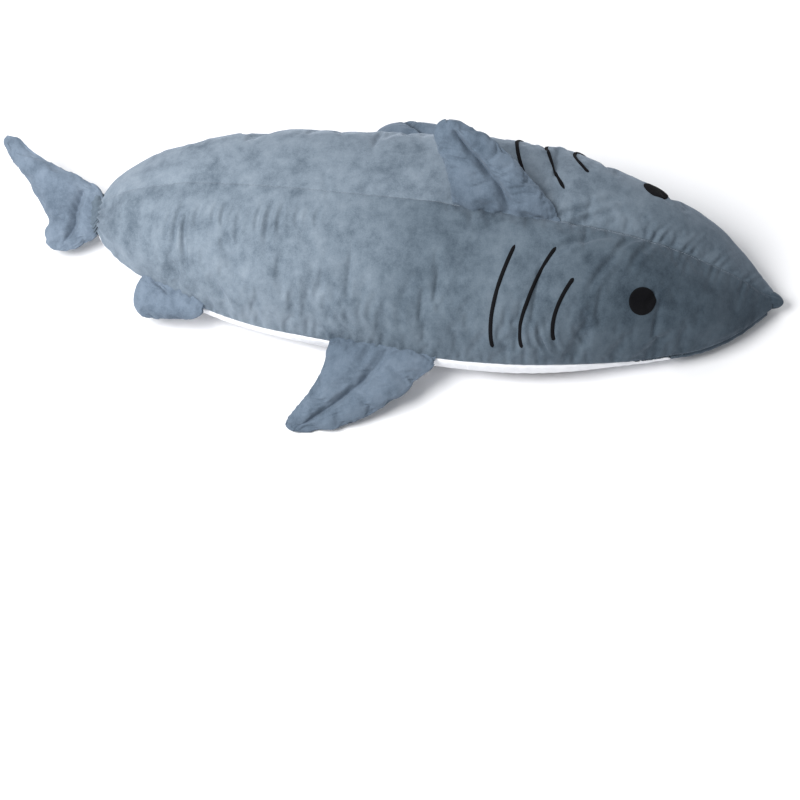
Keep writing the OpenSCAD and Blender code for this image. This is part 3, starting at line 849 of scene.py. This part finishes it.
def mouth_line(n, grow=0.0):
    a = np.linspace(0, 1, 200)[1:]
    ahead = WIDEST + (MOUTH_APEX - WIDEST) * np.sin(a * pi / 2)
    u = np.concatenate([np.linspace(CORNER, WIDEST, 40), ahead])
    side = np.stack([u, mouth_y(u)], -1)
    d = np.gradient(side, axis=0)
    out = np.stack([-d[:, 1], d[:, 0]], -1)
    side = side + grow * out / np.linalg.norm(out, axis=1, keepdims=True)
    side[:, 1] = np.maximum(side[:, 1], 0)
    return even_line(mirrored(side), n)


def rolled_edge(grid, edge):
    """Carries the lip on from its last column, round and up to the palate's edge."""
    start, z0 = grid[:, -1, :2], grid[:, -1, 2]
    edge_z = np.maximum(palate_z(edge[:, 0], edge[:, 1]) + 1, 20)
    rolled = []
    for a in np.linspace(0, pi / 2, 9)[1:]:
        plan = start + (edge - start) * sin(a)
        rolled.append(np.column_stack([plan, z0 + (edge_z - z0) * (1 - cos(a))]))
    return np.concatenate([grid, np.stack(rolled, 1)], 1)


def lip(skin):
    """The white band between the upper teeth and the side seams, with a rolled inner edge."""
    n, length = 240, 1500
    front = skin.plan(gum_front(60)[:30])
    outer = mirrored(np.concatenate([seam_line(skin, 995, LIP_FRONT - 2), front]))
    grid = band(skin, skin.plan(mouth_line(n, grow=13.0)), even_line(outer, n), 34)
    grid = rolled_edge(grid, mouth_line(n))
    along = np.linspace(0, length, n)[:, None]
    t = np.linspace(0, 1, grid.shape[1])[None, :]
    puff = 1.8 * np.sin(pi * np.clip(t * 1.1, 0, 1))
    puff = puff + 1.2 * wave(along, 34, 8) * np.sin(pi * t) ** 0.5
    ends = smooth(np.minimum(along, length - along) / 130)
    grid[..., 2] = np.maximum(grid[..., 2] - puff * ends * (grid[..., 2] > 6), 0)
    piece("lip", grid, "white", bends, ["upper_lip"], 0.7, flip=True, cloth=3)


def snout(skin):
    n = 160
    inner = skin.plan(even_line(gum_front(80), n) - [[3, 0]])
    outer = even_line(mirrored(seam_line(skin, LIP_FRONT, 1716)), n)
    grid = band(skin, inner, outer, 40)
    piece("snout_panel", grid, "grey_nap_shaded", bends, ["snout_underside"], 0.8, flip=True, cloth=3)


def belly(skin):
    last = int(np.searchsorted(skin.u, 1008))
    grid = skin.grid[:last][:, skin.below].copy()
    dive = 3.5 * smooth((grid[..., :1] - 999) / 9)  # runs in under the lip and the jaw's cover
    grid -= skin.normal[:last][:, skin.below] * dive
    piece("belly_panel", grid, "white", torso, ["belly_cover"], 0.8, cloth=3)


def around_rim(y, e, base):
    """Points of the lower jaw's cover: e runs over the rim, from below (negative) on to the top."""
    h = jaw_edge(y)
    low = base + (h - base) * (1 - np.sqrt(jaw_roll(np.maximum(-e, 0))))
    x = rim_at(y) - np.abs(e)
    ripple = wave(CORNER_HALF * np.arcsin(y / (CORNER_HALF + 0.001)), 26, 9) * bell(e / 22)
    z = np.where(e < 0, low, jaw_top(x, y)) - 1.5 * ripple
    return np.stack([x + 1.5 * ripple, y + 0 * x, np.maximum(z, 0)], -1)


def jaw_columns(skin):
    """Places across the lower jaw, the skin's height there and the cover's reach."""
    y = CORNER_HALF * np.sin(np.linspace(-1, 1, 181) * pi / 2)[:, None]
    place = skin.plan(np.concatenate([0 * y + CORNER - 1, y], 1))
    base = skin.under(place[:, 0], place[:, 1])[:, 2:]
    return y, base, np.maximum(rim_at(y) - 990, 14)


def lower_jaw(skin):
    """The belly's tongue-shaped end, rolled over its rim and scalloped between the teeth."""
    y, base, reach = jaw_columns(skin)
    aside = np.minimum(np.abs(y) / CORNER_HALF, 1)
    k = np.sign(y) * (1 - (1 - aside) ** (1 / 1.35))
    scallop = np.abs(np.sin(pi * (k + 1) * LOWER_TEETH / 2)) ** 0.8
    end = (-27 + 42 * scallop) * np.clip((CORNER_HALF - np.abs(y)) / 30, 0, 1)
    t = 1 - (1 - np.linspace(0, 1, 48)[None, :]) ** 1.6
    grid = around_rim(y, -reach + (reach + end) * t, base)
    grid[..., 2] = grid[..., 2] + 1.5 * smooth((1008 - grid[..., 0]) / 10)
    piece("lower_jaw_rim", grid, "white", torso, ["belly_filling"], 0.8, flip=True, cloth=2.5)


def palate():
    s = spread(61)
    ahead = WIDEST + (MOUTH_APEX - 1 - WIDEST) * np.sin(np.linspace(0, 1, 50)[1:] * pi / 2)
    u = [np.linspace(POCKET_END, CORNER - 8, 60), np.linspace(CORNER, WIDEST, 24), ahead]
    u = np.concatenate(u)[:, None]
    y = s * np.where(u < CORNER, pocket_y(u) - 2, mouth_y(u))
    z = np.where(u < CORNER, curve(SEAM, u) + quilt(u, y), palate_z(u, y))
    ripple = 1.6 * wave(u + 0.3 * np.abs(y), 46, 11) * (1 - np.abs(s) ** 6)
    grid = np.stack([u + 0 * y, y, z + ripple], -1)
    piece("palate", grid, "red", bends,
          ["palate_lining", "pocket_lining_upper"], 0.4, flip=True, cloth=2, out=1)


def jaw_lining(skin):
    """The lining of the pocket's floor and of the lower jaw."""
    s = spread(61)
    u = np.linspace(POCKET_END, CORNER, 62)[:, None]
    y = s * (pocket_y(u) - 2)
    ripple = 1.3 * wave(u - 0.3 * np.abs(y), 50, 12) * (1 - np.abs(s) ** 6)
    floor = np.stack([u + 0 * y, y, curve(SEAM, u) - quilt(u, y) + ripple], -1)
    y, base, reach = jaw_columns(skin)
    e = (reach - 14) - (reach - 14 + 36) * np.linspace(0, 1, 44)[None, :]
    jaw = around_rim(y, e, base)
    jaw[..., 0] -= 2.0 * bell(e / 14)
    jaw[..., 2] += np.where(e < 0, 2.0, -0.6) * (np.abs(y) < 240)
    points = np.concatenate([placed(floor).reshape(-1, 3), placed(jaw).reshape(-1, 3)])
    faces = grid_faces(*floor.shape[:2])
    faces += grid_faces(*jaw.shape[:2], start=floor[..., 0].size, flip=True)
    o = mesh_object("jaw_lining", points, faces, "red")
    thicken(o, 2, 1)
    finish_piece(o, torso, ["pocket_lining_lower"])


# ---- Teeth ----


def tooth(a, b, length, lie, side):
    """A thin stuffed triangle with its base from a to b in plan, lying on the lie(x, y) height."""
    a, b = np.asarray(a, float), np.asarray(b, float)
    width = np.linalg.norm(b - a)
    d = (b - a) / width
    mid = (a + b) / 2
    inward = np.array([-abs(d[1]), -np.sign(mid[1]) * abs(d[0])])
    v = np.linspace(-0.12, 1, 22)[:, None]
    s = spread(20)
    reach = width / 2 * 1.02 * np.clip(1 - np.clip(v, 0, 1), 0.02, 1) ** 0.93
    plan = mid + (s * reach)[..., None] * d + (v * length + 0 * s)[..., None] * inward
    edge = np.sqrt(np.clip(1 - s**2, 0, 1)) * np.clip((1 - v) * 5, 0.15, 1) ** 0.5
    puff = 7.5 * edge * np.minimum(1, reach / 18) + 0.6 * np.sin(17 * v + 5 * s)
    z = lie(plan[..., 0], plan[..., 1])
    outer = np.concatenate([plan, (z + side * (2.0 + puff))[..., None]], -1)
    inner = np.concatenate([plan, (z + side * 0.8)[..., None]], -1)
    return np.concatenate([outer, inner[:, ::-1]], 1)


def upper_edge(k):
    """The mouth's edge in plan at k, from -1 at one corner to 1 at the other."""
    u = CORNER + (MOUTH_APEX - CORNER) * sin(pi / 2 * (1 - abs(k))) ** 1.05
    return u, -np.sign(k) * float(mouth_y(u))


def lower_edge(k):
    y = -CORNER_HALF * np.sign(k) * (1 - (1 - abs(k)) ** 1.35)
    return float(rim_at(y)), y


def tooth_row(names, count, edge, lie, side, shares, move):
    """Teeth side by side. shares are the lengths of the outer two and of the others."""
    ends = [edge(2 * i / count - 1) for i in range(count + 1)]
    for i in range(count):
        length = TOOTH_LENGTH * (shares[0] if i in (0, count - 1) else shares[1])
        grid = tooth(ends[i], ends[i + 1], length, lie, side)
        name, node = (f"{n}_{i + 1}" for n in names)
        piece(name, grid, "tooth", move, [node], 0.6, flip=side > 0, wrap=True)


def teeth():
    names = "top_tooth", "upper_tooth"
    tooth_row(names, UPPER_TEETH, upper_edge, palate_z, -1, (0.6, 1), bends)
    names = "bottom_tooth", "lower_tooth"
    tooth_row(names, LOWER_TEETH, lower_edge, jaw_top, 1, (0.5, 0.75), torso)


# ---- Eyes, gills and nose ----


def place_on_back(skin, base, u, angle):
    """The distance left of the spine that an angle of the plain form has on the finished skin."""
    i = int(np.argmin(np.abs(base[:, 0, 0] - u)))
    target = section(np.array([float(u)]), np.array([radians(angle)]))[0]
    j = int(np.argmin(np.linalg.norm(base[i, : AROUND + 1] - target, axis=1)))
    row = int(np.argmin(np.abs(skin.u - u)))
    here = base[i, j]
    step = base[i, min(j + 1, AROUND)] - here
    part = float(np.dot(target - here, step) / max(np.dot(step, step), 1e-9))
    w, ahead = skin.w[row, [j * FINER, min(j * FINER + FINER, skin.cells)]]
    return float(w + (ahead - w) * part)


def eye(skin, base, side):
    u0, r = EYE_STATION, EYE_RADIUS
    w0 = place_on_back(skin, base, u0, 50 if side == "left" else 130)
    rings = np.array([0, 0.2, 0.4, 0.6, 0.75, 0.87, 0.95, 1.0, 1.0])[:, None]
    off = np.array([5.4, 5.3, 5.1, 4.8, 4.5, 4.2, 3.6, 2.4, -1.0])[:, None]
    a = circle(64)
    x, y = r * rings * np.cos(a), r * rings * np.sin(a)
    middle, ahead, left = skin.back(np.array([u0, u0 + 25, u0]), np.array([w0, w0, w0 + 25]))
    ahead = (ahead - middle) / np.linalg.norm(ahead - middle)
    normal = np.cross(ahead, left - middle)
    normal /= np.linalg.norm(normal)
    left = np.cross(normal, ahead)
    deep = (skin.back(u0 + x, w0 + y) - middle) @ normal
    grid = middle + x[..., None] * ahead + y[..., None] * left + (deep + off)[..., None] * normal
    piece(f"felt_eye_{side}", grid, "black", bends, [f"eye_{side}"], 0.2, wrap=True)


# Each stripe: station at its upper end, middle and lower end, then the angles of its two ends
GILL_HALF = 4.6
GILLS = [(1084, 1052, 1060, 75, 12), (1180, 1129, 1133, 76, 13), (1232, 1202, 1207, 61, 20)]


def gill(skin, base, side, i):
    top, mid, low, a0, a1 = GILLS[i]
    if side == "left":
        mid, low = mid - 10, low + 12  # pulled rounder on the far side
    v = np.linspace(0, 1, 60)
    u = (1 - v) ** 2 * top + 2 * v * (1 - v) * (2 * mid - (top + low) / 2) + v**2 * low
    angles = a0 + (a1 - a0) * v
    if side == "right":
        angles = 180 - angles
    knots = np.linspace(0, 59, 9).astype(int)
    w = [place_on_back(skin, base, u[k], angles[k]) for k in knots]
    w = np.polyval(np.polyfit(v[knots], w, 3), v)
    d = np.stack([np.gradient(u), np.gradient(w)], -1)
    d /= np.linalg.norm(d, axis=1, keepdims=True)
    c = np.linspace(-1, 1, 11)[None, :]
    ends = np.clip(np.minimum(v, 1 - v) * 40, 0.08, 1)[:, None] ** 0.5
    across = GILL_HALF * c * ends
    off = 0.2 + 3.0 * np.sqrt(1 - c**2 * 0.999) * ends
    grid = skin.back(u[:, None] - d[:, 1:] * across, w[:, None] + d[:, :1] * across, off)
    centre = skin.back(u, w)
    soft = eased(centre, 16)
    grid = grid + (2 * soft - eased(soft, 16) - centre)[:, None]  # bridges creases
    piece(f"gill_stripe_{side}_{i + 1}", grid, "black", bends,
          [f"gill_{side}_{i + 1}"], 0.3, flip=side == "left")


def nose():
    u = np.array([1696, 1706, 1714, 1722, 1730, 1738, 1744, 1749, 1752, 1753])[:, None]
    size = np.array([0.80, 0.86, 0.88, 0.95, 1.0, 0.97, 0.86, 0.62, 0.3, 0.02])[:, None]
    a = circle(96)
    width = np.interp(u, [1696, 1712, 1753], [50, 27, 14]) * size
    tall = np.interp(u, [1696, 1712, 1753], [26, 19, 12]) * size
    pleat = np.cos(11 * a + 0.6 * np.sin(2 * a)) * np.clip((1750 - u) / 30, 0, 1)
    pleat = 1 + 0.09 * pleat
    z = curve(SEAM, np.minimum(u, BODY)) + 9 - 0.10 * (u - 1696)
    grid = np.stack([u + 0 * a, width * pleat * np.cos(a), z + tall * pleat * np.sin(a)], -1)
    grid[..., 2] = np.maximum(grid[..., 2], 1)
    piece("nose_gather", grid, "grey_nap_shaded", lambda p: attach(p, "upper_jaw"),
          ["nose_tip"], 0.9, wrap=True)


# ---- Fins ----

# Outlines of the fins: (height over the root, rear edge, front edge); the tail's heights run across it
DORSAL = [
    (-4, 0, 264), (0, 0, 264), (28, -8, 249), (65, -19, 216), (103, -32, 176), (141, -51, 133),
    (172, -64, 90), (192, -64, 55), (206, -55, 20), (214, -44, -4),
]
PECTORAL = [
    (-16, 0, 268), (0, 0, 268), (22, -3, 262), (45, -3, 240), (80, -10, 219), (115, -21, 187),
    (160, -45, 133), (189, -63, 90), (205, -71, 64), (219, -74, 20), (228, -64, -10), (233, -54, -34),
]
PECTORAL_TUCKED = [
    (-16, 0, 268), (0, 0, 268), (17, 0, 260), (31, 4, 242), (51, 12, 220), (71, 24, 192), (90, 42, 162),
    (100, 58, 138), (107, 74, 118),
]
REAR = [
    (-20, 16, 200), (0, 12, 203), (20, 12, 204), (40, 13, 178), (58, 18, 140), (70, 28, 110),
    (78, 40, 90), (83, 54, 74),
]
TAIL = [
    (-106, 86, 120), (-95, 60, 139), (-80, 38, 144), (-60, 14, 149), (-33, 5, 141), (-11, 5, 157),
    (32, 5, 190), (66, 20, 211), (88, 64, 231), (117, 148, 258), (138, 198, 274), (159, 230, 288),
    (176, 252, 280),
]

# Sewn channels of the fins: (share of height, share across)
DORSAL_LINE = [(0.0, 0.52), (0.3, 0.56), (0.55, 0.50), (0.8, 0.42), (0.94, 0.40)]
PECTORAL_LINE = [(0.0, 0.54), (0.25, 0.53), (0.5, 0.46), (0.75, 0.40), (0.95, 0.36)]
REAR_LINE = [(0.02, 0.08), (0.10, 0.22), (0.18, 0.38), (0.26, 0.55)]
TAIL_LINE = [(0.05, 0.5), (0.3, 0.45), (0.5, 0.3), (0.62, 0.2)]

FIN_CELLS = 26  # cells across one side of a fin
TAIL_LEAN, TAIL_HEIGHT = 28, 98  # the tail fin's lean to the left, in degrees, and its middle's height


def fin_grid(outline, line, thick, seed, rows=46):
    """A stuffed fin in its own plane: x along the root, y up from it, z through it."""
    h, trail, lead = np.array(outline, float).T
    v = np.linspace(0, 1, rows)
    level = h[0] + (h[-1] - h[0]) * v
    t0 = curve(list(zip(h, trail)), level)[:, None]
    width = curve(list(zip(h, lead)), level)[:, None] - t0
    s = (1 - np.cos(np.linspace(0, 1, FIN_CELLS + 1) * pi)) / 2
    s = np.concatenate([s, s[-2:0:-1]])[None, :]
    side = np.concatenate([np.ones(FIN_CELLS + 1), -np.ones(FIN_CELLS - 1)])[None, :]
    body = thick / 2 * (0.30 + 0.70 * np.sin(pi * np.clip(v, 0.03, 0.94)) ** 0.6)
    body = (body * (0.45 + 0.55 * smooth(v / 0.11)))[:, None]  # thin at the sewn root
    line_v, line_s = np.array(line, float).T
    where = np.interp(v, line_v, line_s)[:, None]
    near = bell((s - where) * width / 9) * smooth((v - line_v[0]) * 12)[:, None]
    near = near * smooth((line_v[-1] - v) * 12)[:, None]
    z = side * body * (4 * s * (1 - s)) ** 0.45 * (1 - 0.72 * near)
    x = t0 + width * s
    grid = np.stack([x, level[:, None] + 0 * x, z], -1)
    pins = np.clip(near * 0.9, 0, 0.9)
    pins[:, 0] = pins[:, FIN_CELLS] = 0.25
    pins[0] = 1
    grid = inflate(grid, pins, [1, 0], pressure=3.0, swell=0.06, cap=9.0, stiff=8, bend=0.1)
    return sewn_fin(grid, v, s, width[:, 0], line, h[-1] - h[0], seed)


def sewn_fin(grid, v, s, widths, line, length, seed):
    """The fin as a finer grid, with its channel, edge seam and tucks pressed in."""
    m = grid.shape[1]
    grid = finer(finer(grid, 2, False).swapaxes(0, 1), 4, True).swapaxes(0, 1)
    s = finer(np.broadcast_to(s, (2, m)).T.copy(), 4, True).T[:1]
    out = np.where(np.arange(4 * m) < 2 * m, 1, -1)[None, :]
    fine_v = np.linspace(0, 1, len(grid))[:, None]
    line_v, line_s = np.array(line, float).T
    width = np.interp(fine_v, v, widths)
    gap = (s - np.interp(fine_v, line_v, line_s)) * width
    rim = np.minimum(s, 1 - s) * width
    live = smooth((fine_v - line_v[0]) * 14) * smooth((line_v[-1] - fine_v) * 14)
    tucks = wave(fine_v * length + 0.4 * gap, 15, seed) * np.exp(-np.abs(gap) / 22) * live
    edges = wave(fine_v * length, 13, seed + 1) * np.exp(-rim / 14)
    root = wave(s * width, 16, seed + 2) * np.exp(-fine_v * length / 26)
    press = 1.3 * tucks + 0.6 * edges + 1.6 * root - 4.0 * bell(gap / 2.8) * live - 2.0 * bell(rim / 3)
    grid[..., 2] = grid[..., 2] + out * press * np.clip(rim / 8, 0, 1)
    middle = (grid[..., 2] + opposite(grid)[..., 2]) / 2
    least = 2.2 * np.clip(rim / 8, 0, 1)  # keeps the two sides apart
    grid[..., 2] = middle + out * np.maximum(out * (grid[..., 2] - middle), least)
    return grid


def opposite(grid):
    return np.roll(grid[:, ::-1], 1, 1)


def on_root(grid, start, end, turn, mirror):
    start, end = np.asarray(start, float), np.asarray(end, float)
    d = (end - start) / np.linalg.norm(end - start)
    rot = Matrix.Rotation(atan2(d[1], d[0]), 3, "Z") @ Matrix.Rotation(-asin(d[2]), 3, "Y")
    rot = rot @ Matrix.Rotation(radians(turn), 3, "X")
    out = grid @ np.array(rot).T + start
    return out * [1, -1, 1] if mirror else out


def filled(name, grid, nodes, move, first=5):
    """Loose fibre inside a cover, from the grid's row first on."""
    core = grid[first:-9:3, ::4]
    facing = opposite(core)
    core = (core + facing) / 2 + (core - facing) * 0.06
    middle = core.mean(1, keepdims=True)
    piece(name, middle + (core - middle) * 0.78, "fibre", move, nodes, 0.8, wrap=True)


def spine_point(u):
    return (u, 0, float(curve(TOP, u)) + 4)


def seam_point(u, out):
    return (u, float(half_width(u)) + out, float(curve(SEAM, u)) - 16)


def fin(name, flat, start, end, turn):
    flip = name.endswith("right")
    grid = on_root(flat, start, end, turn, flip)
    grid[..., 2] = np.maximum(grid[..., 2], 0.5)
    o = strip(name, grid, "fin", flip=not flip, wrap=True)
    cap_faces(o, grid)
    rides = lambda p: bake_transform(p)
    finish_piece(o, rides, [name + "_cover"])
    filled(name + "_fibre", grid, [name + "_filling"], rides, first=26)


def fins():
    flat = fin_grid(DORSAL, DORSAL_LINE, 50, seed=21)
    fin("dorsal_fin", flat, spine_point(920), spine_point(1185), 48)
    pectorals = [fin_grid(shape, PECTORAL_LINE, 48, seed=31) for shape in (PECTORAL_TUCKED, PECTORAL)]
    rear = fin_grid(REAR, REAR_LINE, 42, seed=41)
    for side, flat, droop in zip(("left", "right"), pectorals, (-50, -35)):
        fin(f"pectoral_fin_{side}", flat, seam_point(654, 5), seam_point(924, 5), -29)
        fin(f"rear_fin_{side}", rear, seam_point(133, 10), seam_point(328, 10), droop)


def cap_faces(o, grid):
    bm = bmesh.new()
    bm.from_mesh(o.data)
    n, m = grid.shape[:2]
    bm.verts.ensure_lookup_table()
    for row in (0, n - 1):
        for j in range(m // 2 - 1):
            around = [j, j + 1, (m - j - 2) % m, (m - j - 1) % m]
            if len(set(around)) == 4:
                try:
                    bm.faces.new([bm.verts[row * m + i] for i in around])
                except ValueError:
                    pass
    bmesh.ops.recalc_face_normals(bm, faces=bm.faces)
    bm.to_mesh(o.data)
    bm.free()
    o.data.polygons.foreach_set("use_smooth", [True] * len(o.data.polygons))


def across_tail(u, y, z):
    """From the tail's own plane, which leans more and more behind the neck, to stations."""
    lean = radians(TAIL_LEAN) * smooth(-u / 20)
    y, z = y * np.cos(lean) - z * np.sin(lean), y * np.sin(lean) + z * np.cos(lean)
    return np.stack([u + 0 * y, y, TAIL_HEIGHT + z], -1)


def tail():
    flat = fin_grid(TAIL, TAIL_LINE, 52, seed=51, rows=60)
    c, s = cos(radians(TAIL_LEAN)), sin(radians(TAIL_LEAN))
    y = flat[..., 1] * c - flat[..., 2] * s
    z = flat[..., 1] * s + flat[..., 2] * c + TAIL_HEIGHT
    grid = np.stack([-flat[..., 0], y, np.maximum(z, 1)], -1)
    o = strip("tail_fin", grid, "fin", wrap=True)
    cap_faces(o, grid)
    blends = lambda p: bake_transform(p)
    finish_piece(o, blends, ["tail_fin_cover"])
    filled("tail_fin_fibre", grid, ["tail_fin_filling"], lambda p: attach(p, "tail_fin"))
    tail_gather()


def tail_gather():
    u = np.linspace(34, -44, 30)[:, None]
    a = circle(160)
    width = np.interp(u, [-44, -24, -6, 2, 12, 34], [58, 58, 50, 44, 58, 66])
    tall = np.interp(u, [-44, -24, -6, 2, 12, 34], [14, 22, 26, 28, 34, 34])
    pleat = 1 + 0.085 * np.sin(19 * a + 1.3 * np.sin(3 * a)) * bell((u + 2) / 20)
    grid = across_tail(u, width * pleat * np.cos(a), tall * pleat * np.sin(a))
    neck = lambda p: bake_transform(p)
    piece("tail_gather", grid, "grey_nap_shaded", neck, ["tail_neck_cover"], 0.6, wrap=True)
    filled("tail_neck_fibre", grid, ["tail_neck_filling"], neck)


def slab(name, u, half, low, high, nodes, move):
    s = spread(25)
    u = u[:, None]
    y = s * half(u)
    bottom = np.stack([u + 0 * y, y, low(u, y)], -1)
    top = np.stack([u + 0 * y, y, np.maximum(high(u, y), low(u, y) + 1)], -1)
    piece(name, np.concatenate([bottom, top[:, ::-1]], 1), "fibre", move, nodes, 0.85, wrap=True)


def height(u, y, upper, inset):
    """The plain form's height at (u, y), taken in by inset."""
    across = np.clip(np.abs(y) / half_width(u), 0, 1)
    n = BACK_POWER if upper else BELLY_POWER
    rise = curve(TOP if upper else BELLY, u) - curve(SEAM, u)
    z = curve(SEAM, u) + rise * np.clip(1 - across**n, 0, 1) ** (1 / n)
    return z - inset if upper else np.maximum(z, 0) + inset


def fibre():
    slab("back_fibre", np.linspace(210, 1000, 50), lambda u: pocket_y(u) - 40,
         lambda u, y: curve(SEAM, u) + quilt(u, y) + 5, lambda u, y: height(u, y, True, 28),
         ["back_filling"], torso)
    slab("jaw_fibre", np.linspace(1010, 1470, 50), lambda u: mouth_y(u) * 0.86,
         lambda u, y: palate_z(u, y) + 6, lambda u, y: height(u, y, True, 26),
         ["head_filling"], bends)


camera()
studio()
base = plain_skin()
skin = Skin(stuffed_skin(base))
tailored(skin)
side_panels(skin)
belly(skin)
lower_jaw(skin)
lip(skin)
snout(skin)
palate()
jaw_lining(skin)
teeth()
for side in ("left", "right"):
    eye(skin, base, side)
    for i in range(3):
        gill(skin, base, side, i)
nose()
fins()
tail()
fibre()
